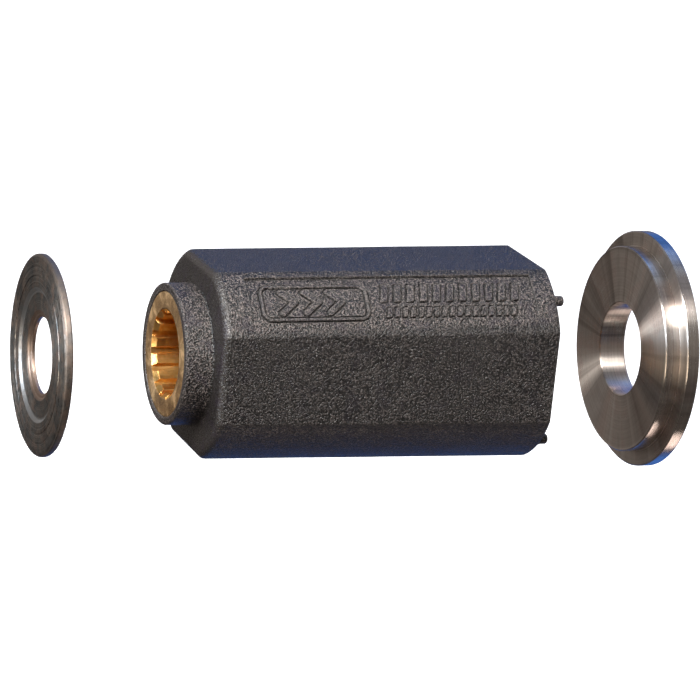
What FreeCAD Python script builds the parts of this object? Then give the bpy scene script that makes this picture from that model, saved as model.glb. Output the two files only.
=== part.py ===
import FreeCAD, Part
import math
import os

# Propeller drive-hub kit: a moulded drive sleeve with a splined brass insert,
# and the two washers that clamp it, laid out in a row on one shaft axis.
#
# Frame (mm): X is the shaft axis.  x = 0 is the aft seating face of the nose,
# where the aft washer lands.  The aft washer is at negative x, the sleeve and
# the thrust washer at positive x.  +Z is up, square to one of the drive flats.

os.makedirs("parts", exist_ok=True)

V = FreeCAD.Vector
X = V(1, 0, 0)

# ---------------------------------------------------------------- dimensions
# drive sleeve
NOSE_R = 18.60          # round nose that carries the insert's visible face
NOSE_LEN = 7.50         # nose face to shoulder
NOSE_EDGE = 0.5         # rounding of the nose's outer edge
NOSE_FILLET = 0.5       # fillet at the foot of the nose
BODY_LEN = 93.50        # shoulder to front face
BODY_R_AFT = 27.75      # round body, aft end
BODY_R_FWD = 28.90      # round body, front end (moulding draft)
FLAT_AFT = 25.24        # axis to drive flat, aft end
FLAT_FWD = 26.12        # axis to drive flat, front end
BODY_EDGE_AFT = 2.1     # rounding round the aft shoulder
BODY_EDGE_FWD = 0.8     # rounding round the front face
CREASE_R = 1.2          # rounding where a flat meets the round
FLAT_SKIM = 0.02        # taken off each lofted flat so that it is a true plane
PANEL_X0 = 15.2         # recessed panel on one of the rounds
PANEL_X1 = 95.1
PANEL_A0 = 29.3         # degrees from the top flat's normal
PANEL_A1 = 72.0
PANEL_RUN = 65.0        # where its floor runs out to the surface
PANEL_DEPTH = 0.45
PEG_R = 1.45            # stub pegs on the front face
PEG_LEN = 2.5
PEG_PCR = 27.4          # their circle's radius
PEG_COUNT = 4

# splined insert
FACE_R = 16.42          # visible round face
FACE_X = 0.25           # the face sits just inside the nose face
FACE_LEN = 7.0          # round head, before the keyed length
CORE_R = 14.4           # barrel between the keys
KEY_R = 15.90           # over the keys
KEY_COUNT = 8
KEY_HALF_DEG = 11.0     # half width of each key
INSERT_PROUD = PEG_LEN  # stands proud of the front face, level with the pegs
SPLINE_COUNT = 15
SPLINE_ROOT_R = 11.90   # bottom of the grooves
SPLINE_TIP_R = 10.65    # top of the internal teeth
GROOVE_HALF_TIP = 1.02  # half width of a groove at the teeth tips
GROOVE_HALF_ROOT = 0.80 # half width at the groove's bottom
SPLINE_CHAMFER = 1.0

# thrust washer
TW_X = 131.90           # boss face, towards the sleeve
TW_BOSS_R = 28.20
TW_BOSS_T = 4.30
TW_FLANGE_R = 32.40
TW_FLANGE_T = 3.65
TW_BORE_R = 12.75       # slides on the 25.4 mm shaft seat
TW_BORE_LEN = 7.25
TW_SEAT_R = 13.45       # short lead-in at the forward side
TW_EDGE = 0.35
TW_BORE_EDGE = 0.25

# aft washer
AW_X = -34.40           # rim face, away from the sleeve
AW_R = 26.20
AW_T = 2.30             # rim thickness
AW_EDGE = 0.45
AW_STEP = 0.75          # depth of the recess on the aft side
AW_RISE = 0.25          # how far the centre stands out on the sleeve side
AW_RECESS_R = 17.10     # recess on the aft side
AW_BOSS_R = 17.90       # raised centre on the sleeve side
AW_BORE_R = 9.90
AW_BORE_IN_R = 11.80    # bevel at the aft side of the bore
AW_BEVEL = 0.80


# ------------------------------------------------------------------ helpers
def revolve(points):
    """Solid of revolution about X from (x, r) points of a closed outline."""
    pts = [V(x, 0, r) for x, r in points]
    pts.append(pts[0])
    face = Part.Face(Part.makePolygon(pts))
    solid = face.revolve(V(0, 0, 0), X, 360)
    if solid.ShapeType != "Solid":
        solid = solid.Solids[0]
    return solid


def cyl(r, length, x0, y=0.0, z=0.0):
    return Part.makeCylinder(r, length, V(x0, y, z), X)


def on_circle(radius, angle_deg):
    """Point on a circle about X; 0 degrees is +Z, turning towards -Y."""
    a = math.radians(angle_deg)
    return -radius * math.sin(a), radius * math.cos(a)


def section_wire(x, r, flat, soft):
    """Round of radius r with four flats at distance flat, creases rounded by soft."""
    h = math.degrees(math.acos((flat - soft) / (r - soft)))
    w = math.sqrt((r - soft) ** 2 - (flat - soft) ** 2)

    def at(lateral, height, k):
        a = math.radians(90 * k)
        y, z = -lateral, height
        return V(x, y * math.cos(a) - z * math.sin(a), y * math.sin(a) + z * math.cos(a))

    def arc(p, q, m):
        return Part.Arc(p, q, m).toShape()

    edges = []
    for k in range(4):
        half = math.radians(h / 2)
        cx, cz = w, flat - soft
        edges.append(Part.LineSegment(at(-w, flat, k), at(w, flat, k)).toShape())
        edges.append(arc(at(w, flat, k), at(cx + soft * math.sin(half), cz + soft * math.cos(half), k),
                         V(x, *on_circle(r, 90 * k + h))))
        edges.append(arc(V(x, *on_circle(r, 90 * k + h)), V(x, *on_circle(r, 90 * k + 45)),
                         V(x, *on_circle(r, 90 * k + 90 - h))))
        edges.append(arc(V(x, *on_circle(r, 90 * k + 90 - h)),
                         at(-cx - soft * math.sin(half), cz + soft * math.cos(half), k + 1),
                         at(-w, flat, k + 1)))
    return Part.Wire(edges)


def save(node, shape):
    if shape.ShapeType == "Compound" and len(shape.Solids) == 1:
        shape = shape.Solids[0]
    if not shape.isValid():
        shape.fix(1e-4, 1e-5, 1e-4)
    box = shape.BoundBox
    print("%-14s solids %d valid %s vol %.1f mm3  x %.2f..%.2f y %.2f..%.2f z %.2f..%.2f" % (
        node, len(shape.Solids), shape.isValid(), shape.Volume,
        box.XMin, box.XMax, box.YMin, box.YMax, box.ZMin, box.ZMax))
    shape.exportStep("parts/%s.step" % node)


# ------------------------------------------------------------ spline insert
SHOULDER = NOSE_LEN
FRONT = NOSE_LEN + BODY_LEN
INSERT_LEN = FRONT + INSERT_PROUD


def insert_outside(x0=FACE_X):
    """Outer form: round head, then a barrel with keys that carry the torque."""
    key_len = FRONT - 12.0 - FACE_LEN
    barrel = cyl(KEY_R, key_len, FACE_LEN - 0.5)
    ways = []
    half = 180.0 / KEY_COUNT - KEY_HALF_DEG
    for i in range(KEY_COUNT):
        a = 360.0 * (i + 0.5) / KEY_COUNT
        pts = [V(FACE_LEN, *on_circle(CORE_R, a - half)), V(FACE_LEN, *on_circle(KEY_R + 2.0, a - half)),
               V(FACE_LEN, *on_circle(KEY_R + 3.0, a)), V(FACE_LEN, *on_circle(KEY_R + 2.0, a + half)),
               V(FACE_LEN, *on_circle(CORE_R, a + half))]
        way = Part.Face(Part.makePolygon(pts + [pts[0]])).extrude(V(key_len + 1, 0, 0))
        ways.append(way.cut(cyl(CORE_R, key_len + 3, FACE_LEN - 1)))
    barrel = barrel.cut(ways)
    head = cyl(FACE_R, FACE_LEN - x0, x0)
    tail = cyl(CORE_R, INSERT_LEN - FACE_LEN, FACE_LEN)
    return head.multiFuse([barrel, tail]).removeSplitter()


def spline_cutter():
    """Round bore at the teeth tips plus one straight-sided groove per tooth space."""
    bore = cyl(SPLINE_TIP_R, INSERT_LEN + 2, -1)
    grooves = []
    for i in range(SPLINE_COUNT):
        a = 360.0 * i / SPLINE_COUNT
        c, s = math.cos(math.radians(a)), math.sin(math.radians(a))
        prof = [(-GROOVE_HALF_TIP, SPLINE_TIP_R - 0.9), (GROOVE_HALF_TIP, SPLINE_TIP_R - 0.9),
                (GROOVE_HALF_TIP, SPLINE_TIP_R), (GROOVE_HALF_ROOT, SPLINE_ROOT_R),
                (-GROOVE_HALF_ROOT, SPLINE_ROOT_R), (-GROOVE_HALF_TIP, SPLINE_TIP_R)]
        pts = [V(-1, t * c - r * s, t * s + r * c) for t, r in prof]
        face = Part.Face(Part.makePolygon(pts + [pts[0]]))
        grooves.append(face.extrude(V(INSERT_LEN + 2, 0, 0)))
    return bore, grooves


bore, grooves = spline_cutter()
insert = insert_outside().cut(bore).cut(grooves)
ch = SPLINE_CHAMFER
a0 = FACE_X
lead_aft = revolve([(a0 - 0.5, 0), (a0 - 0.5, SPLINE_ROOT_R + 0.5), (a0, SPLINE_ROOT_R), (a0 + ch * 1.25, SPLINE_TIP_R), (a0 + ch * 1.25, 0)])
lead_fwd = revolve([(INSERT_LEN + 0.5, 0), (INSERT_LEN + 0.5, SPLINE_ROOT_R + 1.0),
                    (INSERT_LEN, SPLINE_ROOT_R + 0.5), (INSERT_LEN - ch * 1.6, SPLINE_TIP_R), (INSERT_LEN - ch * 1.6, 0)])
insert = insert.cut(lead_aft).cut(lead_fwd).removeSplitter()
save("spline_insert", insert)

# ------------------------------------------------------------- drive sleeve
# drafted body: a round with four drive flats, lofted from the aft to the front section
e = BODY_EDGE_AFT
f = BODY_EDGE_FWD
slope = (BODY_R_FWD - BODY_R_AFT) / BODY_LEN
fslope = (FLAT_FWD - FLAT_AFT) / BODY_LEN
body = Part.makeLoft([section_wire(SHOULDER, BODY_R_AFT, FLAT_AFT, CREASE_R),
                      section_wire(FRONT, BODY_R_FWD, FLAT_FWD, CREASE_R)], True, True)

# turned envelope that rounds the aft shoulder and eases the front edge
outline = [(SHOULDER, 0.0), (SHOULDER, BODY_R_AFT - e)]
outline += [(SHOULDER + e - e * math.cos(math.radians(a)),
             BODY_R_AFT - e + e * math.sin(math.radians(a)) + slope * e * a / 90.0)
            for a in (15, 30, 45, 60, 75, 90)]
outline += [(SHOULDER + e + 0.4, BODY_R_FWD + 1.0), (FRONT - f - 0.4, BODY_R_FWD + 1.0)]
outline += [(FRONT - f + f * math.sin(math.radians(a)), BODY_R_FWD - f + f * math.cos(math.radians(a)))
            for a in (0, 22.5, 45, 67.5, 90)]
outline += [(FRONT, 0.0)]
body = body.common(revolve(outline))

# round the aft edge of each flat with the same radius as the shoulder
for k in range(4):
    zc = FLAT_AFT - e
    rise = fslope * e
    pts = [(SHOULDER - 1, zc), (SHOULDER - 1, zc + e + 3), (SHOULDER + e, zc + e + 3), (SHOULDER + e, zc + e + rise)]
    pts += [(SHOULDER + e - e * math.cos(math.radians(a)), zc + e * math.sin(math.radians(a)) + rise * a / 90.0)
            for a in (75, 60, 45, 30, 15)]
    pts += [(SHOULDER, zc)]
    poly = [V(x, -40, z) for x, z in pts]
    tool = Part.Face(Part.makePolygon(poly + [poly[0]])).extrude(V(0, 80, 0))
    tool.rotate(V(0, 0, 0), X, 90.0 * k)
    body = body.cut(tool)

# skim each drive flat to a true plane, short of its rounded edges
half = math.sqrt((BODY_R_AFT - CREASE_R) ** 2 - (FLAT_AFT - CREASE_R) ** 2) - 0.3
xa, xb = SHOULDER + e + 0.9, FRONT - f - 0.9
for k in range(4):
    za = FLAT_AFT + fslope * (xa - SHOULDER) - FLAT_SKIM
    zb = FLAT_AFT + fslope * (xb - SHOULDER) - FLAT_SKIM
    poly = [V(xa, -half, za), V(xb, -half, zb), V(xb, -half, zb + 8), V(xa, -half, za + 8)]
    tool = Part.Face(Part.makePolygon(poly + [poly[0]])).extrude(V(0, 2 * half, 0))
    tool.rotate(V(0, 0, 0), X, 90.0 * k)
    body = body.cut(tool)

# nose, with rounded outer edge and a small fillet at its foot
n = NOSE_EDGE
nose = [(0, 0.0), (0, NOSE_R - n)]
nose += [(n - n * math.cos(math.radians(a)), NOSE_R - n + n * math.sin(math.radians(a))) for a in (22.5, 45, 67.5, 90)]
g = NOSE_FILLET
nose += [(SHOULDER - g + g * math.sin(math.radians(a)), NOSE_R + g - g * math.cos(math.radians(a))) for a in (0, 22.5, 45, 67.5, 90)]
nose += [(SHOULDER + 2.0, NOSE_R + g), (SHOULDER + 2.0, 0.0)]
body = body.fuse(revolve(nose))

# recessed panel on the round, running out into the flat below it
r0 = BODY_R_AFT + slope * (PANEL_X0 - SHOULDER)
r1 = BODY_R_AFT + slope * (PANEL_X1 - SHOULDER)
ring = revolve([(PANEL_X0, r0 - PANEL_DEPTH), (PANEL_X0, 34), (PANEL_X1, 34), (PANEL_X1, r1 - PANEL_DEPTH)])
sector = [V(PANEL_X0 - 1, 0, 0)]
for i in range(7):
    y, z = on_circle(60, PANEL_A0 + (PANEL_A1 - PANEL_A0) * i / 6)
    sector.append(V(PANEL_X0 - 1, y, z))
run = PANEL_DEPTH / math.sin(math.radians(PANEL_RUN - PANEL_A0))
ring.translate(V(0, *on_circle(run, PANEL_A0 + 90)))
wedge = Part.Face(Part.makePolygon(sector + [sector[0]])).extrude(V(PANEL_X1 - PANEL_X0 + 2, 0, 0))
body = body.cut(ring.common(wedge))

# four stub pegs on the front face, on the centre lines of the rounds
for k in range(PEG_COUNT):
    y, z = on_circle(PEG_PCR, 45 + 90 * k)
    peg = cyl(PEG_R, PEG_LEN + 2.0, FRONT - 2.0, y, z)
    tip = [ed for ed in peg.Edges if abs(ed.BoundBox.XMin - (FRONT + PEG_LEN)) < 1e-3 and ed.BoundBox.XLength < 1e-3]
    peg = peg.makeFillet(0.75, tip)
    body = body.fuse(peg)

# the seat for the insert
sleeve = body.cut(insert_outside(-1.0)).removeSplitter()
save("drive_sleeve", sleeve)

# ------------------------------------------------------------ thrust washer
t0, t1, t2 = TW_X, TW_X + TW_BOSS_T, TW_X + TW_BOSS_T + TW_FLANGE_T
c, b = TW_EDGE, TW_BORE_EDGE
thrust = revolve([
    (t0, TW_BORE_R + b), (t0, TW_BOSS_R - c), (t0 + c, TW_BOSS_R), (t1 - 0.25, TW_BOSS_R), (t1, TW_BOSS_R + 0.25),
    (t1, TW_FLANGE_R - c), (t1 + c, TW_FLANGE_R), (t2 - c, TW_FLANGE_R), (t2, TW_FLANGE_R - c),
    (t2, TW_SEAT_R), (t0 + TW_BORE_LEN, TW_BORE_R), (t0 + b, TW_BORE_R)])
save("thrust_washer", thrust)

# --------------------------------------------------------------- aft washer
w0 = AW_X
w1 = AW_X + AW_T
q = AW_EDGE
aft = revolve([
    (w0 + AW_STEP, AW_BORE_IN_R), (w0 + AW_STEP, AW_RECESS_R - 0.5), (w0, AW_RECESS_R + 0.35),
    (w0, AW_R - q), (w0 + 0.25 * q, AW_R - 0.35 * q), (w0 + q, AW_R), (w1 - q, AW_R), (w1 - 0.25 * q, AW_R - 0.35 * q), (w1, AW_R - q),
    (w1, AW_BOSS_R + 0.35), (w1 + AW_RISE, AW_BOSS_R - 0.2),
    (w1 + AW_RISE, AW_BORE_R + 0.15), (w1 + AW_RISE - 0.15, AW_BORE_R), (w0 + AW_STEP + AW_BEVEL, AW_BORE_R)])
save("aft_washer", aft)

print("overall x %.2f..%.2f  length %.2f" % (AW_X, t2, t2 - AW_X))
print("gap aft washer to nose %.2f, thrust washer to pegs %.2f" % (-(w1 + AW_RISE), TW_X - INSERT_LEN))
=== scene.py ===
import math

import bmesh
import bpy
import numpy as np
from mathutils import Matrix, Vector


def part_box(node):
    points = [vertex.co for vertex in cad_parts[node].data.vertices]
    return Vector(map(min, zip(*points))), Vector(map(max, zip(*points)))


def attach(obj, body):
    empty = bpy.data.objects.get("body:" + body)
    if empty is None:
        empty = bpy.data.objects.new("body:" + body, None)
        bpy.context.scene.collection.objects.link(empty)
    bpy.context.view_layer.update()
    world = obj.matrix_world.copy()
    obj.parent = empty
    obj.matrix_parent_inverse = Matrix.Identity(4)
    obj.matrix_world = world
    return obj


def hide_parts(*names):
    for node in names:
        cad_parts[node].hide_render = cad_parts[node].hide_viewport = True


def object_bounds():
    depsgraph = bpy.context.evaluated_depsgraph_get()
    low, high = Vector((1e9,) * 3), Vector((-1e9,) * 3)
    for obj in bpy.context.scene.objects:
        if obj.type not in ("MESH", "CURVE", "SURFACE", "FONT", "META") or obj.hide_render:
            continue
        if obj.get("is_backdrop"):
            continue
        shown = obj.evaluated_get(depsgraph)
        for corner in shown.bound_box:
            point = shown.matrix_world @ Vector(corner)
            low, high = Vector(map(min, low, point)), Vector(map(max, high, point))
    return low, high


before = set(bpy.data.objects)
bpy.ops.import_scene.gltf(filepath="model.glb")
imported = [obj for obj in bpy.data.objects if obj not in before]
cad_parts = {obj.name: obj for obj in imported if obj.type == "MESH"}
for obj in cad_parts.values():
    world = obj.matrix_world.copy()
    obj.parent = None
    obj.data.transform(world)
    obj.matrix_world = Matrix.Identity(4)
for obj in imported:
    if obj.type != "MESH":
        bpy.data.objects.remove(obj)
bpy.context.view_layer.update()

MM = 0.001
rng = np.random.default_rng(7)

# ------------------------------------------------------------------ the frame
sleeve_lo, sleeve_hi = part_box("drive_sleeve")
insert_lo, insert_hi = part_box("spline_insert")
thrust_lo, thrust_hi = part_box("thrust_washer")
aft_lo, aft_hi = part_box("aft_washer")

NOSE_X = sleeve_lo[0] / MM               # aft seating face of the nose
TIP_X = sleeve_hi[0] / MM                # tips of the pegs, level with the insert's front end
FACE_X = insert_lo[0] / MM               # the insert's face, just inside the nose face
PEG_LEN = 2.5
FRONT_X = TIP_X - PEG_LEN                # front face of the sleeve
NOSE_LEN = 7.50
SHOULDER_X = NOSE_X + NOSE_LEN
NOSE_R = 18.60
NOSE_EDGE, NOSE_FILLET = 0.5, 0.5
FACE_R = insert_hi[2] / MM - 0.01
R_AFT, R_FWD = 27.75, 28.90
A_AFT, A_FWD = 25.24, 26.12
CORE_R = 14.4
SPLINE_ROOT_R, SPLINE_TIP_R = 11.90, 10.65
TW_X0, TW_X1 = thrust_lo[0] / MM, thrust_hi[0] / MM
TW_R, TW_BOSS_R, TW_BOSS_T = thrust_hi[2] / MM, 28.20, 4.30
AW_X0, AW_X1 = aft_lo[0] / MM, aft_hi[0] / MM
AW_R = aft_hi[2] / MM


# ------------------------------------------------------------------- helpers
def smoothstep(a, b, x):
    t = np.clip((x - a) / (b - a), 0.0, 1.0)
    return t * t * (3 - 2 * t)


def finish_mesh(name, me, body, mats, sharp_deg=38.0, replaces=()):
    bm = bmesh.new()
    bm.from_mesh(me)
    bmesh.ops.recalc_face_normals(bm, faces=bm.faces)
    lim = math.radians(sharp_deg)
    for e in bm.edges:
        if len(e.link_faces) == 2:
            e.smooth = e.calc_face_angle(0.0) < lim
    for f in bm.faces:
        f.smooth = True
    bm.to_mesh(me)
    bm.free()
    me.update()
    obj = bpy.data.objects.new(name, me)
    bpy.context.scene.collection.objects.link(obj)
    for m in (mats if isinstance(mats, (list, tuple)) else [mats]):
        me.materials.append(m)
    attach(obj, body)
    for node in replaces:
        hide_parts(node)
    return obj


def grid_object(name, P, body, mats, close_u=True, close_v=True, sharp_deg=38.0, replaces=(), weld=None):
    """P is (nu, nv, 3) in mm; u and v wrap where closed."""
    nu, nv = P.shape[:2]
    verts = (P.reshape(-1, 3) * MM)
    iu = np.arange(nu if close_u else nu - 1)
    iv = np.arange(nv if close_v else nv - 1)
    a, b = np.meshgrid(iu, iv, indexing="ij")
    a2, b2 = (a + 1) % nu, (b + 1) % nv
    quads = np.stack([a * nv + b, a2 * nv + b, a2 * nv + b2, a * nv + b2], -1).reshape(-1, 4)
    me = bpy.data.meshes.new(name)
    me.vertices.add(len(verts))
    me.vertices.foreach_set("co", verts.astype(np.float32).ravel())
    me.loops.add(quads.size)
    me.loops.foreach_set("vertex_index", quads.astype(np.int32).ravel())
    me.polygons.add(len(quads))
    me.polygons.foreach_set("loop_start", (np.arange(len(quads)) * 4).astype(np.int32))
    me.update(calc_edges=True)
    me.validate()
    if weld:
        bm = bmesh.new()
        bm.from_mesh(me)
        bmesh.ops.remove_doubles(bm, verts=bm.verts, dist=weld * MM)
        bm.to_mesh(me)
        bm.free()
    return finish_mesh(name, me, body, mats, sharp_deg, replaces)


def fillet_path(points, seg=6, closed=True):
    """points: (x, r, fillet radius). Returns the outline with each corner rounded."""
    out = []
    n = len(points)
    for i, (x, r, rad) in enumerate(points):
        p = np.array([x, r], float)
        if rad <= 0 or (not closed and i in (0, n - 1)):
            out.append(p)
            continue
        a = np.array(points[(i - 1) % n][:2], float) - p
        b = np.array(points[(i + 1) % n][:2], float) - p
        la, lb = np.linalg.norm(a), np.linalg.norm(b)
        a, b = a / la, b / lb
        ang = math.acos(max(-1, min(1, float(a @ b))))
        if ang > math.pi - 0.02:
            out.append(p)
            continue
        d = min(rad / math.tan(ang / 2), 0.48 * la, 0.48 * lb)
        rr = d * math.tan(ang / 2)
        mid = (a + b) / np.linalg.norm(a + b)
        c = p + mid * rr / math.sin(ang / 2)
        s, e = p + a * d, p + b * d
        a0 = math.atan2(*(s - c)[::-1])
        a1 = math.atan2(*(e - c)[::-1])
        da = (a1 - a0 + math.pi) % (2 * math.pi) - math.pi
        for k in range(seg + 1):
            t = a0 + da * k / seg
            out.append(c + rr * np.array([math.cos(t), math.sin(t)]))
    return np.array(out)


def densify(path, step, closed=True):
    out = []
    n = len(path)
    for i in range(n if closed else n - 1):
        p, q = path[i], path[(i + 1) % n]
        k = max(1, int(math.ceil(np.linalg.norm(q - p) / step)))
        for j in range(k):
            out.append(p + (q - p) * j / k)
    if not closed:
        out.append(path[-1])
    return np.array(out)


def lathe(path, n, wobble=None):
    """(x, r) path turned about X; angle 0 is +Z, turning towards -Y."""
    th = np.linspace(0, 2 * math.pi, n, endpoint=False)
    x = np.repeat(path[:, 0][:, None], n, 1)
    r = np.repeat(path[:, 1][:, None], n, 1)
    if wobble is not None:
        dx, dr = wobble(x, r, th[None, :])
        x, r = x + dx, r + dr
    return np.stack([x, -r * np.sin(th)[None], r * np.cos(th)[None]], -1)


# ----------------------------------------------------------------- materials
def material(name):
    m = bpy.data.materials.new(name)
    m.use_nodes = True
    nt = m.node_tree
    nt.nodes.clear()
    out = nt.nodes.new("ShaderNodeOutputMaterial")
    bsdf = nt.nodes.new("ShaderNodeBsdfPrincipled")
    nt.links.new(bsdf.outputs["BSDF"], out.inputs["Surface"])
    return m, nt, bsdf


class N:
    """Small node-building helper."""

    def __init__(self, nt):
        self.nt = nt

    def put(self, sock, value):
        if hasattr(value, "node"):
            self.nt.links.new(value, sock)
        elif value is not None:
            sock.default_value = value

    def obj(self):
        return self.nt.nodes.new("ShaderNodeTexCoord").outputs["Object"]

    def scale(self, vec, s, offset=(0, 0, 0)):
        n = self.nt.nodes.new("ShaderNodeMapping")
        self.put(n.inputs["Vector"], vec)
        n.inputs["Scale"].default_value = s
        n.inputs["Location"].default_value = offset
        return n.outputs["Vector"]

    def noise(self, vec, scale, detail=3.0, rough=0.55, dist=0.0, dim="3D", w=None):
        n = self.nt.nodes.new("ShaderNodeTexNoise")
        n.noise_dimensions = dim
        if dim != "1D":
            self.put(n.inputs["Vector"], vec)
        if w is not None:
            self.put(n.inputs["W"], w)
        n.inputs["Scale"].default_value = scale
        n.inputs["Detail"].default_value = detail
        n.inputs["Roughness"].default_value = rough
        n.inputs["Distortion"].default_value = dist
        return n.outputs["Fac"]

    def voronoi(self, vec, scale, feature="F1", rand=1.0):
        n = self.nt.nodes.new("ShaderNodeTexVoronoi")
        n.feature = feature
        self.put(n.inputs["Vector"], vec)
        n.inputs["Scale"].default_value = scale
        n.inputs["Randomness"].default_value = rand
        return n.outputs["Distance"]

    def ramp(self, fac, stops):
        n = self.nt.nodes.new("ShaderNodeValToRGB")
        self.put(n.inputs["Fac"], fac)
        el = n.color_ramp.elements
        while len(el) > 1:
            el.remove(el[-1])
        el[0].position = stops[0][0]
        el[0].color = self.rgba(stops[0][1])
        for p, c in stops[1:]:
            e = el.new(p)
            e.color = self.rgba(c)
        return n.outputs["Color"]

    @staticmethod
    def rgba(c):
        if isinstance(c, (int, float)):
            return (c, c, c, 1)
        return (c[0], c[1], c[2], 1)

    def math(self, op, a, b=None, c=None, clamp=False):
        n = self.nt.nodes.new("ShaderNodeMath")
        n.operation = op
        n.use_clamp = clamp
        self.put(n.inputs[0], a)
        if b is not None:
            self.put(n.inputs[1], b)
        if c is not None:
            self.put(n.inputs[2], c)
        return n.outputs[0]

    def maprange(self, v, a, b, c, d, clamp=True):
        n = self.nt.nodes.new("ShaderNodeMapRange")
        n.clamp = clamp
        self.put(n.inputs["Value"], v)
        for k, val in (("From Min", a), ("From Max", b), ("To Min", c), ("To Max", d)):
            n.inputs[k].default_value = val
        return n.outputs["Result"]

    def mix(self, fac, a, b, blend="MIX"):
        n = self.nt.nodes.new("ShaderNodeMix")
        n.data_type = "RGBA"
        n.blend_type = blend
        self.put(n.inputs["Factor"], fac)
        for sock, v in ((n.inputs["A"], a), (n.inputs["B"], b)):
            pass
        ins = [s for s in n.inputs if s.type == "RGBA"]
        for sock, v in zip(ins, (a, b)):
            if hasattr(v, "node"):
                self.nt.links.new(v, sock)
            else:
                sock.default_value = self.rgba(v)
        return [o for o in n.outputs if o.type == "RGBA"][0]

    def bump(self, height, strength, distance, normal=None):
        n = self.nt.nodes.new("ShaderNodeBump")
        self.put(n.inputs["Height"], height)
        n.inputs["Strength"].default_value = strength
        n.inputs["Distance"].default_value = distance
        if normal is not None:
            self.put(n.inputs["Normal"], normal)
        return n.outputs["Normal"]

    def xyz(self, vec):
        n = self.nt.nodes.new("ShaderNodeSeparateXYZ")
        self.put(n.inputs[0], vec)
        return n.outputs

    def radius(self, vec):
        """Distance from the X axis."""
        s = self.xyz(vec)
        return self.math("SQRT", self.math("ADD", self.math("MULTIPLY", s[1], s[1]), self.math("MULTIPLY", s[2], s[2])))

    def angle(self, vec):
        s = self.xyz(vec)
        return self.math("ARCTAN2", self.math("MULTIPLY", s[1], -1.0), s[2])

    def combine(self, x, y, z):
        n = self.nt.nodes.new("ShaderNodeCombineXYZ")
        for s, v in zip(n.inputs, (x, y, z)):
            self.put(s, v)
        return n.outputs[0]

    def pointiness(self):
        return self.nt.nodes.new("ShaderNodeNewGeometry").outputs["Pointiness"]

    def tangent_x(self):
        n = self.nt.nodes.new("ShaderNodeTangent")
        n.direction_type = "RADIAL"
        n.axis = "X"
        return n.outputs["Tangent"]


def polymer_material():
    """Black glass-filled polymer: granular skin, pale fibre flecks, faint flow marks along the draw; painted shade
    darkens the four flats and the concave creases.
    """
    m, nt, b = material("glass_filled_polymer")
    n = N(nt)
    co = n.obj()
    grain = n.noise(co, 2050, 1.5, 0.55)
    fine = n.noise(co, 3700, 0.0, 0.5)
    coarse = n.noise(co, 700, 2.0, 0.6)
    cells = n.voronoi(co, 1500)
    fleck = n.voronoi(n.scale(co, (0.6, 1, 1)), 1700)
    flow = n.noise(n.scale(co, (9, 60, 60)), 1.0, 4.0, 0.6, 0.6)
    blotch = n.noise(co, 70, 4.0, 0.6, 0.4)
    hue = n.noise(co, 240, 3.0, 0.6, 0.3)
    edge = n.pointiness()
    s = n.xyz(co)
    side = n.math("MAXIMUM", n.math("ABSOLUTE", s[1]), n.math("ABSOLUTE", s[2]))
    # mask of the four flats, used below to paint shade onto them
    flat = n.maprange(side, 24.4 * MM, 25.2 * MM, 0.0, 1.0)
    # the shoulder and its rounding come off a polished part of the tool
    polish = n.math("MULTIPLY", n.maprange(s[0], (SHOULDER_X + 2.4) * MM, (SHOULDER_X + 1.1) * MM, 0.0, 1.0),
                    n.maprange(s[0], (SHOULDER_X - 0.6) * MM, (SHOULDER_X - 0.1) * MM, 0.0, 1.0))
    calm = n.math("SUBTRACT", 1.0, n.math("MULTIPLY", polish, 0.80))
    dark = n.mix(n.maprange(blotch, 0.35, 0.7, 0.0, 1.0), (0.0050, 0.0042, 0.0044), (0.0100, 0.0082, 0.0082))
    base = n.mix(n.maprange(flow, 0.5, 0.75, 0.0, 0.5), dark, (0.015, 0.013, 0.0125))
    speck = n.math("MULTIPLY", n.maprange(grain, 0.505, 0.575, 0.0, 1.0), n.maprange(fine, 0.38, 0.56, 0.2, 1.0))
    base = n.mix(n.math("MULTIPLY", speck, calm), base, (0.165, 0.138, 0.132))
    base = n.mix(n.math("MULTIPLY", n.maprange(grain, 0.48, 0.42, 0.0, 0.95), calm), base, (0.0012, 0.0012, 0.0012))
    base = n.mix(n.math("MULTIPLY", n.maprange(fleck, 0.10, 0.26, 0.65, 0.0), calm), base, (0.27, 0.23, 0.205))
    base = n.mix(n.math("MULTIPLY", polish, 0.8), base, (0.022, 0.019, 0.0185))
    base = n.mix(n.maprange(hue, 0.50, 0.66, 0.0, 0.45), base, (0.020, 0.013, 0.024))
    # painted shade: the four flats are darkened against the round, which catches the key light's highlight
    base = n.mix(n.math("MULTIPLY", flat, 0.58), base, (0.0018, 0.0016, 0.0018))
    base = n.mix(n.maprange(edge, 0.508, 0.535, 0.0, 0.35), base, (0.12, 0.108, 0.10))
    # painted shade: concave creases and the channels around the relief are darkened as if lying in shade
    base = n.mix(n.maprange(edge, 0.494, 0.474, 0.0, 0.9), base, (0.0012, 0.0012, 0.0012))
    nt.links.new(base, b.inputs["Base Color"])
    rough = n.math("ADD", n.maprange(grain, 0.42, 0.58, 0.34, 0.54), n.maprange(blotch, 0.3, 0.7, -0.04, 0.05))
    rough = n.math("SUBTRACT", rough, n.math("MULTIPLY", polish, 0.13))
    nt.links.new(rough, b.inputs["Roughness"])
    b.inputs["Specular IOR Level"].default_value = 0.60
    b.inputs["IOR"].default_value = 1.54
    h1 = n.bump(n.math("MULTIPLY", n.math("SUBTRACT", grain, 0.5), calm), 1.0, 0.00046)
    h2 = n.bump(fine, 0.9, 0.00020, h1)
    h3 = n.bump(cells, 0.5, 0.00018, h2)
    h4 = n.bump(coarse, 0.35, 0.00035, h3)
    h5 = n.bump(flow, 0.30, 0.00040, h4)
    nt.links.new(h5, b.inputs["Normal"])
    return m


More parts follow.
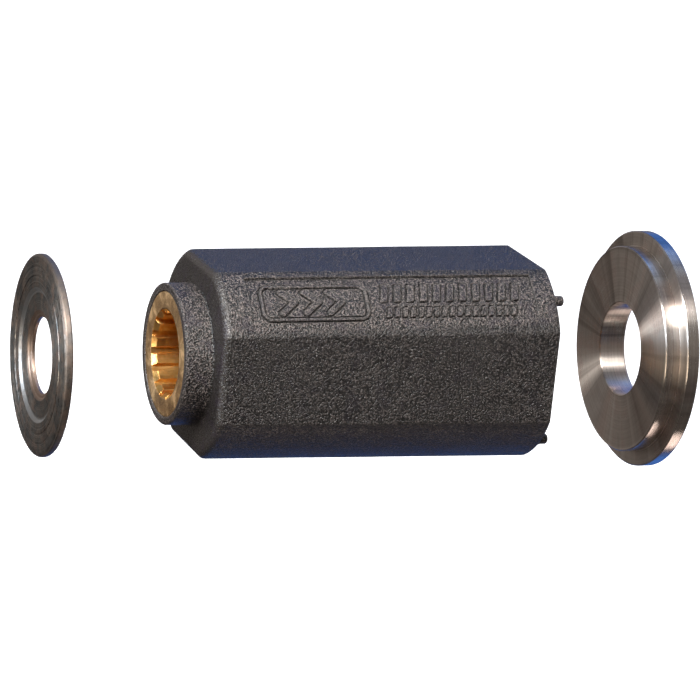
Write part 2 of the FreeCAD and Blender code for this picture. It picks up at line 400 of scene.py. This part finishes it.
def brass_material():
    """Broached and faced brass: streaks along the bore, rings on the face, brown film in places."""
    m, nt, b = material("machined_brass")
    n = N(nt)
    co = n.obj()
    r = n.radius(co)
    s = n.xyz(co)
    streak = n.noise(n.scale(co, (40, 2600, 2600)), 1.0, 3.0, 0.6)
    rings = n.noise(None, 5200, 2.0, 0.5, dim="1D", w=r)
    blotch = n.noise(co, 210, 4.0, 0.6, 0.7)
    fine = n.noise(co, 2400, 2.0, 0.6)
    face = n.maprange(s[0], (FACE_X + 0.06) * MM, (FACE_X + 0.18) * MM, 1.0, 0.0)
    tone = n.ramp(blotch, [(0.30, (0.62, 0.30, 0.075)), (0.50, (0.86, 0.50, 0.16)), (0.72, (1.0, 0.72, 0.32))])
    deep = n.maprange(s[0], (NOSE_X + 1) * MM, (NOSE_X + 45) * MM, 0.0, 0.55)
    tone = n.mix(deep, tone, (0.80, 0.38, 0.09))
    facec = n.ramp(blotch, [(0.34, (0.15, 0.078, 0.034)), (0.50, (0.33, 0.195, 0.092)), (0.64, (0.76, 0.52, 0.28))])
    base = n.mix(face, tone, facec)
    base = n.mix(n.maprange(streak, 0.45, 0.75, 0.0, 0.35), base, (0.93, 0.70, 0.36))
    nt.links.new(base, b.inputs["Base Color"])
    nt.links.new(n.math("SUBTRACT", 1.0, n.math("MULTIPLY", face, 0.45)), b.inputs["Metallic"])
    rough = n.math("ADD", n.maprange(fine, 0.3, 0.7, 0.28, 0.43), n.math("MULTIPLY", face, 0.18))
    nt.links.new(rough, b.inputs["Roughness"])
    hface = n.math("MULTIPLY", rings, face)
    hbore = n.math("MULTIPLY", streak, n.math("SUBTRACT", 1.0, face))
    h = n.math("ADD", hface, hbore)
    n1 = n.bump(h, 0.5, 0.00006)
    n2 = n.bump(blotch, 0.25, 0.00020, n1)
    nt.links.new(n2, b.inputs["Normal"])
    return m


def turned_steel_material():
    """Fine-turned stainless: circular tool marks, brown-grey handling film, and light, dark and pinkish radial fans
    painted into the colour as reflections of the turned lay.
    """
    m, nt, b = material("turned_stainless")
    n = N(nt)
    co = n.obj()
    r = n.radius(co)
    s = n.xyz(co)
    lay = n.math("ADD", r, n.math("MULTIPLY", s[0], 0.83))
    ring = n.noise(None, 9000, 2.0, 0.6, dim="1D", w=lay)
    ring2 = n.noise(None, 1500, 2.0, 0.5, dim="1D", w=lay)
    film = n.noise(co, 90, 4.0, 0.6, 0.6)
    base = n.ramp(film, [(0.30, (0.58, 0.525, 0.485)), (0.50, (0.70, 0.645, 0.60)), (0.60, (0.72, 0.62, 0.57)), (0.75, (0.82, 0.78, 0.74))])
    base = n.mix(n.maprange(ring2, 0.35, 0.7, 0.0, 0.30), base, (0.36, 0.315, 0.285))
    # painted reflection: light, dark and pinkish fans radiating from the axis stand in for the reflections a turned
    # face throws
    spoke = n.combine(0.0, n.math("DIVIDE", s[1], r), n.math("DIVIDE", s[2], r))
    painted_fans = n.noise(spoke, 4.2, 3.0, 0.6)
    painted_fan_tint = n.noise(spoke, 2.1, 2.0, 0.5)
    base = n.mix(n.maprange(painted_fans, 0.46, 0.34, 0.0, 0.62), base, (0.23, 0.195, 0.175))
    base = n.mix(n.maprange(painted_fans, 0.54, 0.68, 0.0, 0.60), base, (0.90, 0.85, 0.80))
    base = n.mix(n.maprange(painted_fan_tint, 0.52, 0.66, 0.0, 0.35), base, (0.62, 0.46, 0.40))
    nt.links.new(base, b.inputs["Base Color"])
    b.inputs["Metallic"].default_value = 1.0
    rough = n.math("ADD", n.maprange(ring, 0.3, 0.7, 0.27, 0.36), n.maprange(film, 0.3, 0.7, 0.03, -0.02))
    # the turned sides carry a finer lay than the faces
    boss_side = n.math("MULTIPLY", n.maprange(r, (TW_BOSS_R - 0.25) * MM, (TW_BOSS_R - 0.12) * MM, 0.0, 1.0), n.maprange(r, (TW_BOSS_R + 0.15) * MM, (TW_BOSS_R + 0.05) * MM, 0.0, 1.0))
    rim_side = n.maprange(r, (TW_R - 0.25) * MM, (TW_R - 0.10) * MM, 0.0, 1.0)
    sides = n.math("MAXIMUM", boss_side, rim_side)
    rough = n.math("SUBTRACT", rough, n.math("MULTIPLY", sides, 0.10))
    nt.links.new(rough, b.inputs["Roughness"])
    b.inputs["Anisotropic"].default_value = 0.95
    b.inputs["Anisotropic Rotation"].default_value = 0.25
    nt.links.new(n.tangent_x(), b.inputs["Tangent"])
    n1 = n.bump(ring, 0.35, 0.00002)
    n2 = n.bump(ring2, 0.25, 0.00005, n1)
    nt.links.new(n2, b.inputs["Normal"])
    return m


def pressed_steel_material():
    """Pressed steel: dull brown-grey, worn bright on the step edges, a painted bluish reflection on the sloped step
    wall, fine pits and rings.
    """
    m, nt, b = material("pressed_steel")
    n = N(nt)
    co = n.obj()
    r = n.radius(co)
    s = n.xyz(co)
    ring = n.noise(None, 3800, 3.0, 0.6, dim="1D", w=r)
    pits = n.noise(co, 1500, 3.0, 0.7)
    film = n.noise(co, 150, 5.0, 0.68, 0.8)
    tint = n.noise(co, 330, 3.0, 0.6, 0.5)
    base = n.ramp(film, [(0.32, (0.075, 0.080, 0.085)), (0.44, (0.165, 0.16, 0.157)), (0.56, (0.27, 0.24, 0.22)), (0.70, (0.50, 0.42, 0.36))])
    base = n.mix(n.maprange(tint, 0.50, 0.64, 0.0, 0.6), base, (0.17, 0.20, 0.215))
    base = n.mix(n.maprange(tint, 0.48, 0.36, 0.0, 0.5), base, (0.42, 0.29, 0.235))
    base = n.mix(n.maprange(ring, 0.52, 0.72, 0.0, 0.55), base, (0.56, 0.53, 0.50))
    base = n.mix(n.maprange(pits, 0.46, 0.34, 0.0, 0.8), base, (0.045, 0.042, 0.042))
    wear = n.maprange(n.pointiness(), 0.515, 0.56, 0.0, 0.60)
    base = n.mix(wear, base, (0.60, 0.58, 0.55))
    # painted reflection: the sloped step wall is lightened to a bluish silver, standing in for the window light it
    # reflects
    painted_slope_reflection = n.math("MULTIPLY", n.maprange(r, 16.0 * MM, 16.5 * MM, 0.0, 1.0), n.maprange(r, 17.7 * MM, 17.3 * MM, 0.0, 1.0))
    base = n.mix(n.math("MULTIPLY", painted_slope_reflection, 0.7), base, (0.62, 0.64, 0.66))
    # the sheared rim is duller and browner than the faces
    rim = n.maprange(r, (AW_R - 0.9) * MM, (AW_R - 0.4) * MM, 0.0, 1.0)
    base = n.mix(n.math("MULTIPLY", rim, n.maprange(film, 0.36, 0.60, 0.35, 0.85)), base, (0.27, 0.215, 0.18))
    bore = n.maprange(r, 11.9 * MM, 11.5 * MM, 0.0, 0.7)
    base = n.mix(bore, base, (0.52, 0.37, 0.29))
    nt.links.new(base, b.inputs["Base Color"])
    b.inputs["Metallic"].default_value = 1.0
    rough = n.math("SUBTRACT", n.maprange(pits, 0.3, 0.7, 0.36, 0.52), n.math("MULTIPLY", wear, 0.10))
    nt.links.new(n.math("ADD", rough, n.math("MULTIPLY", rim, 0.14)), b.inputs["Roughness"])
    b.inputs["Anisotropic"].default_value = 0.5
    b.inputs["Anisotropic Rotation"].default_value = 0.25
    nt.links.new(n.tangent_x(), b.inputs["Tangent"])
    n1 = n.bump(ring, 0.6, 0.00006)
    n2 = n.bump(pits, 0.6, 0.00009, n1)
    n3 = n.bump(film, 0.4, 0.00030, n2)
    nt.links.new(n3, b.inputs["Normal"])
    return m


M_POLY = polymer_material()
M_BRASS = brass_material()
M_TURNED = turned_steel_material()
M_PRESSED = pressed_steel_material()


# ---------------------------------------------------------------- the sleeve
def section(th_deg, R, A, soft):
    """Radius of a round of radius R with four flats at A, creases rounded by soft."""
    soft = max(soft, 0.02)
    q = np.abs((th_deg + 45.0) % 90.0 - 45.0)
    h = math.degrees(math.acos((A - soft) / (R - soft)))
    w = math.sqrt((R - soft) ** 2 - (A - soft) ** 2)
    q1 = math.degrees(math.atan2(w, A))
    d = np.radians(q)
    flat = A / np.cos(d)
    c = np.array([w, A - soft])
    cd = c[0] * np.sin(d) + c[1] * np.cos(d)
    arc = cd + np.sqrt(np.maximum(cd ** 2 - (c @ c - soft ** 2), 0))
    return np.where(q <= q1, flat, np.where(q < h, arc, R))


PANEL_X0, PANEL_X1, PANEL_A0 = NOSE_X + 15.2, NOSE_X + 95.1, 29.3
PANEL_DEPTH, PANEL_RUN = 0.45, 65.0
CREASE = 1.2


def theta_grid():
    t = list(np.arange(0, 360, 1.0))
    t += list(np.arange(28.0, 70.0, 0.3))
    for k in range(4):
        t += list(np.arange(90 * k + 21.5, 90 * k + 27.0, 0.5))
        t += list(np.arange(90 * k + 63.0, 90 * k + 69.0, 0.5))
    t += [PANEL_A0 - 0.12, PANEL_A0 + 0.12]
    for c in (135.0, 315.0):
        t += list(np.arange(c - 1.0, c + 1.01, 0.2))
    t = np.unique(np.round(np.array(t) % 360, 2))
    keep = [t[0]]
    for v in t[1:]:
        if v - keep[-1] > 0.11:
            keep.append(v)
    return np.array(keep)


TH = theta_grid()


def sd_box(px, py, cx, cy, hx, hy, rad=0.0, skew=0.0):
    x = px - cx - skew * (py - cy)
    dx, dy = np.abs(x) - hx + rad, np.abs(py - cy) - hy + rad
    return np.hypot(np.maximum(dx, 0), np.maximum(dy, 0)) + np.minimum(np.maximum(dx, dy), 0) - rad


def sd_seg(px, py, ax, ay, bx, by, half):
    vx, vy = bx - ax, by - ay
    t = np.clip(((px - ax) * vx + (py - ay) * vy) / (vx * vx + vy * vy), 0, 1)
    return np.hypot(px - ax - t * vx, py - ay - t * vy) - half


def relief(X, S):
    """Raised detail on the panel, in mm: X along the body, S down from the panel's top edge.
    A plain fore-and-aft mark: three chevrons in a rounded frame, then two rows of slanted ribs."""
    d = np.full(X.shape, 9.0)
    # rounded frame
    ring = np.abs(sd_box(X, S, 33.0, 8.0, 14.4, 4.9, 2.2)) - 0.38
    d = np.minimum(d, ring)
    # chevrons pointing forward
    for cx in (25.5, 32.0, 38.5):
        d = np.minimum(d, sd_seg(X, S, cx - 1.6, 5.0, cx + 1.9, 8.0, 0.85))
        d = np.minimum(d, sd_seg(X, S, cx - 1.6, 11.0, cx + 1.9, 8.0, 0.85))
    # upper row: tall slanted ribs
    for i in range(11):
        cx = 52.6 + 3.7 * i
        d = np.minimum(d, sd_box(X, S, cx, 5.6, 0.95, 2.7, 0.3, skew=-0.22))
    # lower row: low ribs
    for i in range(17):
        cx = 53.2 + 2.2 * i
        d = np.minimum(d, sd_box(X, S, cx, 11.3, 0.62, 1.35, 0.25, skew=-0.22))
    return 0.34 * (1 - smoothstep(-0.10, 0.10, d)) - 0.34 * (1 - smoothstep(0.0, 0.26, np.abs(d - 0.22)))


def value_noise(x, y, seed):
    """Smooth 2-D value noise on arrays, about -1..1, deterministic."""
    g = np.random.default_rng(seed).uniform(-1, 1, (64, 64))
    xi, yi = np.floor(x).astype(int), np.floor(y).astype(int)
    fx, fy = x - xi, y - yi
    fx, fy = fx * fx * (3 - 2 * fx), fy * fy * (3 - 2 * fy)
    g00, g10 = g[xi % 64, yi % 64], g[(xi + 1) % 64, yi % 64]
    g01, g11 = g[xi % 64, (yi + 1) % 64], g[(xi + 1) % 64, (yi + 1) % 64]
    return (g00 * (1 - fx) + g10 * fx) * (1 - fy) + (g01 * (1 - fx) + g11 * fx) * fy


def build_sleeve():
    rows_x, rows_r = [], []
    th = TH

    def ring_row(x, r):
        rows_x.append(np.full(th.shape, float(x)))
        rows_r.append(np.full(th.shape, float(r)) if np.isscalar(r) else np.asarray(r, float))

    def flash(width_deg, height):
        out = np.zeros(th.shape)
        for c in (135.0, 315.0):
            d = np.abs(th - c)
            out += height * (1 - smoothstep(width_deg * 0.25, width_deg, d))
        return out

    x0 = NOSE_X
    # seat lip, nose face, rounded edge, nose side, foot fillet
    ring_row(x0 + 0.60, FACE_R + 0.02)
    ring_row(x0 + 0.30, FACE_R + 0.03)
    ring_row(x0 + 0.12, FACE_R + 0.10)
    ring_row(x0 + 0.02, FACE_R + 0.28)
    ring_row(x0 + 0.00, FACE_R + 0.8)
    e = NOSE_EDGE
    ring_row(x0 + 0.01, NOSE_R - e - 0.3)
    for a in np.linspace(0, 90, 9):
        ar = math.radians(a)
        ring_row(x0 + e - e * math.cos(ar), NOSE_R - e + e * math.sin(ar) + flash(0.55, 0.07 * math.sin(ar)))
    g = NOSE_FILLET
    for x in np.linspace(x0 + 0.9, SHOULDER_X - g, 10):
        ring_row(x, NOSE_R + flash(0.55, 0.08) + 0.015 * value_noise(th / 11.0, np.full(th.shape, x), 3))
    for a in np.linspace(15, 90, 6):
        ar = math.radians(a)
        ring_row(SHOULDER_X - g + g * math.sin(ar), NOSE_R + g - g * math.cos(ar) + flash(0.55, 0.05 * (1 - math.sin(ar))))
    # shoulder face out to the start of its rounding
    e = 2.1
    inner = NOSE_R + g
    edge = section(th, R_AFT - e, A_AFT - e, max(CREASE - e, 0.1))
    for t in np.linspace(0.12, 1.0, 7):
        rr = inner + (edge - inner) * t
        rows_x.append(SHOULDER_X - flash(0.6, 0.05) + 0.02 * np.sin(np.radians(th) * 3 + t * 4))
        rows_r.append(rr)
    for a in np.linspace(10, 90, 9):
        ar = math.radians(a)
        off = e * (1 - math.sin(ar))
        rows_x.append(np.full(th.shape, SHOULDER_X + e - e * math.cos(ar)) + 0.02 * (1 - math.sin(ar)) * np.sin(np.radians(th) * 3 + 4))
        rows_r.append(section(th, R_AFT - off, A_AFT - off, max(CREASE - off * 0.6, 0.3)) + flash(0.5, 0.04))
    # body side
    xs = list(np.arange(SHOULDER_X + e + 0.6, FRONT_X - 0.9, 1.5))
    xs += list(np.arange(PANEL_X0 + 0.4, PANEL_X1 - 0.2, 0.24))
    xs += [PANEL_X0 - 0.07, PANEL_X0 + 0.07, PANEL_X1 - 0.07, PANEL_X1 + 0.07, PANEL_X0 - 0.3, PANEL_X1 + 0.3]
    xs = np.unique(np.round(xs, 3))
    keep = [xs[0]]
    for v in xs[1:]:
        if v - keep[-1] > 0.08:
            keep.append(v)
    L = FRONT_X - SHOULDER_X
    for x in keep:
        t = (x - SHOULDER_X) / L
        R, A = R_AFT + (R_FWD - R_AFT) * t, A_AFT + (A_FWD - A_AFT) * t
        r = section(th, R, A, CREASE)
        # panel: a recess that follows the round and runs out into the flat below it
        inx = smoothstep(PANEL_X0 - 0.07, PANEL_X0 + 0.07, x) * (1 - smoothstep(PANEL_X1 - 0.07, PANEL_X1 + 0.07, x))
        ina = smoothstep(PANEL_A0 - 0.14, PANEL_A0 + 0.14, th) * (1 - smoothstep(72, 74, th))
        floor_r = R - PANEL_DEPTH * (1 - np.sin(np.radians(np.clip(th - PANEL_A0, 0, 60))) / math.sin(math.radians(PANEL_RUN - PANEL_A0)))
        cut = np.minimum(r, floor_r)
        S = np.radians(th - PANEL_A0) * R
        rel = relief(np.full(th.shape, x - NOSE_X), S) * ina * (1 - smoothstep(60, 63, th))
        gutter = 0.26 * (1 - smoothstep(0.12, 0.46, np.abs(th - (PANEL_A0 + 0.48))))
        r = r + (cut - r) * (inx * ina) + (rel - gutter) * inx
        r = r + flash(0.45, 0.035)
        # gentle sink and flow waviness of the moulding
        r = r + 0.030 * value_noise(th / 23.0 + 5, np.full(th.shape, x / 17.0), 11) * (1 - 0.6 * inx * ina)
        ring_row(x, r)
    # front edge and face
    f = 0.8
    for a in np.linspace(0, 90, 7):
        ar = math.radians(a)
        off = f * (1 - math.cos(ar))
        ring_row(FRONT_X - f + f * math.sin(ar), section(th, R_FWD - off, A_FWD - off, CREASE - off * 0.5))
    edge = section(th, R_FWD - f, A_FWD - f, CREASE - f * 0.5)
    for t in np.linspace(0.15, 1.0, 7):
        rr = edge + (CORE_R + 0.25 - edge) * t
        rows_x.append(np.full(th.shape, FRONT_X) + 0.0)
        rows_r.append(rr)
    ring_row(FRONT_X - 0.20, CORE_R + 0.06)
    ring_row(FRONT_X - 0.6, CORE_R + 0.02)
    # back along the seat, hidden by the insert
    ring_row(FRONT_X - 11.5, CORE_R + 0.02)
    ring_row(NOSE_X + 7.05, CORE_R + 0.02)
    ring_row(NOSE_X + 7.0, FACE_R + 0.02)
    X = np.array(rows_x)
    Rr = np.array(rows_r)
    tr = np.radians(th)[None]
    P = np.stack([X, -Rr * np.sin(tr), Rr * np.cos(tr)], -1)
    return grid_object("sleeve_body", P, "hub", M_POLY, sharp_deg=42.0, replaces=("drive_sleeve",))


sleeve = build_sleeve()


def build_pegs():
    bm = bmesh.new()
    path = fillet_path([(FRONT_X - 0.6, 0.0, 0), (FRONT_X - 0.6, 1.62, 0), (FRONT_X + 0.02, 1.60, 0), (FRONT_X + 0.25, 1.43, 0.2),
                        (TIP_X, 1.38, 0.72), (TIP_X, 0.0, 0)], 7, closed=False)
    n = 40
    for k in range(4):
        a = math.radians(45 + 90 * k)
        cy, cz = -27.15 * math.sin(a), 27.15 * math.cos(a)
        rings = []
        for i, (x, r) in enumerate(path):
            if r < 1e-6:
                rings.append([bm.verts.new((x * MM, cy * MM, cz * MM))])
                continue
            row = []
            for j in range(n):
                t = 2 * math.pi * j / n
                row.append(bm.verts.new((x * MM, (cy + r * math.sin(t)) * MM, (cz + r * math.cos(t)) * MM)))
            rings.append(row)
        for p, q in zip(rings[:-1], rings[1:]):
            for j in range(n):
                j2 = (j + 1) % n
                vs = []
                for v in (p[j % len(p)], p[j2 % len(p)], q[j2 % len(q)], q[j % len(q)]):
                    if v not in vs:
                        vs.append(v)
                if len(vs) > 2:
                    bm.faces.new(vs)
    me = bpy.data.meshes.new("sleeve_pegs")
    bm.to_mesh(me)
    bm.free()
    return finish_mesh("sleeve_pegs", me, "hub", M_POLY, 50)


pegs = build_pegs()


# ---------------------------------------------------------------- the insert
def build_insert():
    pitch = 24.0
    lines = [0, 1.4, 2.8, 3.4, 3.75, 3.95, 4.3, 4.8, 5.3, 5.55, 5.9, 6.6, 8.0, 10.0, 12.0]
    th = []
    for k in range(15):
        c = 90.0 + pitch * k
        for v in lines:
            th.append(c + v)
        for v in lines[1:-1]:
            th.append(c - v)
    th = np.sort(np.unique(np.round(np.array(th) % 360, 3)))
    rel = np.abs((th - 90.0 + 12.0) % 24.0 - 12.0)
    # tooth-space profile: groove floor, straight flank, land, with small radii
    flank = np.interp(rel, [0, 3.55, 3.85, 4.15, 5.25, 5.6, 5.95, 12.0],
                      [SPLINE_ROOT_R, SPLINE_ROOT_R, SPLINE_ROOT_R - 0.12, SPLINE_ROOT_R - 0.38, SPLINE_TIP_R + 0.22, SPLINE_TIP_R + 0.04, SPLINE_TIP_R, SPLINE_TIP_R])
    rows_x, rows_r = [], []

    def row(x, r):
        rows_x.append(np.full(th.shape, float(x)))
        rows_r.append(np.full(th.shape, float(r)) if np.isscalar(r) else r)

    x0, x1 = FACE_X, TIP_X
    row(NOSE_X + 6.9, FACE_R)
    row(x0 + 0.25, FACE_R)
    row(x0 + 0.08, FACE_R - 0.05)
    row(x0 + 0.01, FACE_R - 0.20)
    for r in np.linspace(FACE_R - 0.6, SPLINE_ROOT_R + 0.35, 9):
        row(x0 + 0.004 * math.sin(r * 9.0) + 0.004, r)
    row(x0 + 0.01, SPLINE_ROOT_R + 0.12)
    # lead-in chamfer cutting across the teeth, with a raised burr line at each tooth
    burr = 0.06 * (1 - smoothstep(0.0, 0.5, np.abs(rel - 5.6)))
    for x in np.linspace(0.06, 1.35, 12):
        cone = SPLINE_ROOT_R + 0.02 - x * 1.0
        r = np.maximum(np.full(th.shape, cone), flank - burr * (1 - abs(x - 0.8)))
        row(x0 + x, r)
    for x in np.concatenate([np.linspace(1.6, 6, 6), np.linspace(8, x1 - x0 - 2.2, 24)]):
        w = 0.012 * value_noise(th * 1.3, np.full(th.shape, x * 0.35), 21)
        row(x0 + x, flank + w)
    for x in np.linspace(1.6, 0.05, 8):
        cone = SPLINE_ROOT_R + 0.5 - x * 1.1
        row(x1 - x, np.maximum(np.full(th.shape, cone), flank))
    row(x1, SPLINE_ROOT_R + 0.65)
    row(x1, CORE_R - 0.4)
    row(x1 - 0.12, CORE_R - 0.1)
    row(x1 - 0.4, CORE_R)
    row(NOSE_X + 7.1, CORE_R)
    X, Rr, tr = np.array(rows_x), np.array(rows_r), np.radians(th)[None]
    P = np.stack([X, -Rr * np.sin(tr), Rr * np.cos(tr)], -1)
    return grid_object("insert_splined", P, "hub", M_BRASS, sharp_deg=30.0, replaces=("spline_insert",))


insert = build_insert()


# --------------------------------------------------------- the thrust washer
def build_thrust():
    x0, x1 = TW_X0, TW_X1
    xb = x0 + TW_BOSS_T
    path = fillet_path([
        (x0, 12.98, 0.12), (x0, TW_BOSS_R - 0.30, 0.10), (x0 + 0.30, TW_BOSS_R, 0.12), (xb - 0.35, TW_BOSS_R - 0.06, 0.10),
        (xb - 0.05, TW_BOSS_R - 0.10, 0.10), (xb, TW_BOSS_R + 0.35, 0.12), (xb, TW_R - 0.35, 0.12), (xb + 0.35, TW_R, 0.15),
        (x1, TW_R, 0.40), (x1, 13.45, 0.10), (x0 + 7.25, 12.75, 0.15), (x0 + 0.24, 12.75, 0.10)], 6)
    path = densify(path, 0.8)
    # light tool ridges: faint rings across the boss face
    r, x = path[:, 1].copy(), path[:, 0].copy()
    on_face = np.abs(x - x0) < 1e-4
    x[on_face] += 0.006 * (np.sin(r[on_face] * 7.0) + 1)
    path = np.stack([x, r], 1)
    P = lathe(path, 384)
    return grid_object("thrust_washer_turned", P, "thrust_washer", M_TURNED, sharp_deg=40, replaces=("thrust_washer",))


thrust = build_thrust()


# ------------------------------------------------------------ the aft washer
def build_aft():
    w0 = AW_X0
    w1 = w0 + 2.30
    st, up_ = 0.75, AW_X1 - (w0 + 2.30)
    path = fillet_path([
        (w0 + st, 11.80, 0.12), (w0 + st, 16.65, 0.25), (w0 + 0.10, 17.40, 0.20), (w0 + 0.02, 20.10, 0.08), (w0 + 0.20, 20.25, 0.04),
        (w0 + 0.20, 20.60, 0.04), (w0 + 0.02, 20.75, 0.08), (w0, 22.60, 0.0), (w0 + 0.08, 22.85, 0.05), (w0 + 0.02, 23.10, 0.05),
        (w0 + 0.03, AW_R - 0.75, 0.15), (w0 + 0.45, AW_R - 0.12, 0.25), (w0 + 0.75, AW_R, 0.15), (w1 - 0.45, AW_R, 0.35),
        (w1 - 0.03, AW_R - 0.40, 0.3), (w1, 18.25, 0.22), (w1 + up_, 17.70, 0.2), (w1 + up_, 10.05, 0.12), (w1 + up_ - 0.15, 9.90, 0.05),
        (w0 + st + 0.95, 9.90, 0.08), (w0 + st + 0.62, 10.45, 0.05), (w0 + st + 0.55, 10.95, 0.05), (w0 + st + 0.22, 11.35, 0.05)], 5)
    path = densify(path, 0.7)

    def wob(x, r, th):
        edge = smoothstep(AW_R - 1.5, AW_R, r)
        return 0.020 * np.sin(3 * th + 0.4) * edge, -0.03 * edge * (np.abs(np.sin(5 * th + 1.0)) ** 3)
    P = lathe(path, 320, wob)
    return grid_object("aft_washer_pressed", P, "aft_washer", M_PRESSED, sharp_deg=40, replaces=("aft_washer",))


aft = build_aft()


# -------------------------------------------------------- stage, light, camera
def stage_floor():
    lo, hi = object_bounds()
    z = lo[2] - 0.045
    m, nt, b = material("pale_floor")
    n = N(nt)
    col = n.mix(n.maprange(n.noise(n.obj(), 3.0, 2.0), 0.3, 0.7, 0.0, 1.0), (0.60, 0.60, 0.60), (0.62, 0.62, 0.62))
    nt.links.new(col, b.inputs["Base Color"])
    b.inputs["Roughness"].default_value = 0.9
    b.inputs["Emission Color"].default_value = (1, 1, 1, 1)
    b.inputs["Emission Strength"].default_value = 0.90
    me = bpy.data.meshes.new("floor")
    s = 6.0
    me.from_pydata([(-s, -s, z), (s, -s, z), (s, s, z), (-s, s, z)], [], [(0, 1, 2, 3)])
    me.materials.append(m)
    o = bpy.data.objects.new("floor", me)
    bpy.context.scene.collection.objects.link(o)
    o.visible_diffuse = False
    o.visible_glossy = False
    o.visible_shadow = False
    o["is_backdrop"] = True
    return o


floor = stage_floor()

centre = Vector([(a + b) / 2 for a, b in zip(*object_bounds())])


def area_light(name, direction, distance, w, h, power, color):
    d = Vector(direction).normalized()
    data = bpy.data.lights.new(name, "AREA")
    data.shape = "RECTANGLE"
    data.size, data.size_y = w, h
    data.energy = power
    data.color = color
    o = bpy.data.objects.new(name, data)
    o.location = centre + d * distance
    o.rotation_euler = (-d).to_track_quat("-Z", "Y").to_euler()
    o.visible_camera = False
    bpy.context.scene.collection.objects.link(o)
    return o


def seen(v):
    """Directions below are given for the object as it lies before the camera."""
    y, z = v[1], v[2]
    return (v[0], y * math.cos(0.2082) + z * math.sin(0.2082), -y * math.sin(0.2082) + z * math.cos(0.2082))


area_light("key", seen((-0.38, -0.70, 0.60)), 1.0, 0.30, 0.30, 19.0, (1.0, 0.955, 0.90))
area_light("window", seen((-0.91, -0.26, 0.32)), 1.0, 0.24, 0.56, 6.5, (0.80, 0.90, 1.0))
area_light("top", seen((0.10, 0.15, 1.0)), 1.1, 0.9, 0.7, 1.2, (0.66, 0.82, 1.0))
area_light("table", seen((0.42, 0.12, -0.90)), 1.1, 0.40, 0.36, 0.9, (1.0, 0.85, 0.77))
area_light("lamp", seen((-0.92, -0.34, -0.18)), 1.2, 0.28, 0.40, 2.2, (1.0, 0.84, 0.64))

world = bpy.data.worlds.new("studio")
bpy.context.scene.world = world
world.use_nodes = True
wt = world.node_tree
wt.nodes.clear()
wn = N(wt)
w_out = wt.nodes.new("ShaderNodeOutputWorld")
w_bg = wt.nodes.new("ShaderNodeBackground")
wt.links.new(w_bg.outputs[0], w_out.inputs[0])
direction = wt.nodes.new("ShaderNodeTexCoord").outputs["Generated"]
ds = wn.xyz(direction)
# a dim warm room, lighter overhead, with a blue backdrop behind and to the right
elev = wn.maprange(ds[2], -1.0, 1.0, 0.0, 1.0)
sky = wn.ramp(elev, [(0.0, (0.070, 0.060, 0.056)), (0.35, (0.12, 0.105, 0.095)), (0.50, (0.34, 0.305, 0.28)), (0.68, (0.30, 0.275, 0.25)), (1.0, (0.30, 0.32, 0.37))])
mott = wn.noise(direction, 2.2, 3.0, 0.6)
sky = wn.mix(wn.maprange(mott, 0.42, 0.66, 0.0, 0.70), sky, (0.060, 0.050, 0.043), "MIX")
back = wn.math("MULTIPLY", wn.maprange(ds[1], 0.15, 0.45, 0.0, 1.0), wn.maprange(ds[0], 0.0, 0.22, 0.0, 1.0))
# the backdrop shows above and below a pale band at table height
band = wn.math("MAXIMUM", wn.maprange(ds[2], 0.02, 0.20, 0.12, 1.0), wn.maprange(ds[2], -0.34, -0.48, 0.12, 1.0))
sky = wn.mix(wn.math("MULTIPLY", back, band), sky, (0.065, 0.19, 0.60))
front = wn.math("MULTIPLY", wn.maprange(ds[1], -0.45, -0.75, 0.0, 0.62), wn.maprange(ds[2], 0.30, 0.0, 0.0, 1.0))
sky = wn.mix(front, sky, (0.045, 0.042, 0.040))
wt.links.new(sky, w_bg.inputs["Color"])
w_bg.inputs["Strength"].default_value = 1.0

sc = bpy.context.scene
sc.view_settings.view_transform = "Standard"
sc.view_settings.look = "None"

# camera: the same distance, tilt and lens that the three pieces' outlines ask for
cam_data = bpy.data.cameras.new("camera")
cam = bpy.data.objects.new("camera", cam_data)
sc.collection.objects.link(cam)
sc.camera = cam
FOCAL = 3336.105              # lens, in units of the 700-wide frame
AZ, EL, ROLL = math.radians(21.428), math.radians(4.676), math.radians(1.163)
TX, TY, NOSE_U, PHI = 0.035, -1.653, -195.825, math.radians(11.928)
UNIT = 12.75 / 47.842 * MM    # metres per unit at the lens distance


def tilt(v):
    """The object lies turned about its own axis in front of the camera."""
    x, y, z = v
    return Vector((x, y * math.cos(PHI) + z * math.sin(PHI), -y * math.sin(PHI) + z * math.cos(PHI)))


right = Vector((math.cos(AZ), -math.sin(AZ), 0))
ahead = Vector((math.sin(AZ) * math.cos(EL), math.cos(AZ) * math.cos(EL), -math.sin(EL)))
up = right.cross(ahead)
r2 = right * math.cos(ROLL) + up * math.sin(ROLL)
u2 = -right * math.sin(ROLL) + up * math.cos(ROLL)
eye = -ahead * FOCAL - r2 * TX - u2 * TY
eye = tilt((eye.x - NOSE_U, eye.y, eye.z)) * UNIT + Vector((NOSE_X * MM, 0, 0))
r2, u2, back_v = tilt(r2), tilt(u2), -tilt(ahead)
rot = Matrix(((r2.x, u2.x, back_v.x), (r2.y, u2.y, back_v.y), (r2.z, u2.z, back_v.z)))
cam.matrix_world = Matrix.Translation(eye) @ rot.to_4x4()
cam_data.sensor_width = 36.0
cam_data.lens = FOCAL / 700.0 * 36.0
cam_data.clip_start = 0.01
cam_data.clip_end = 50
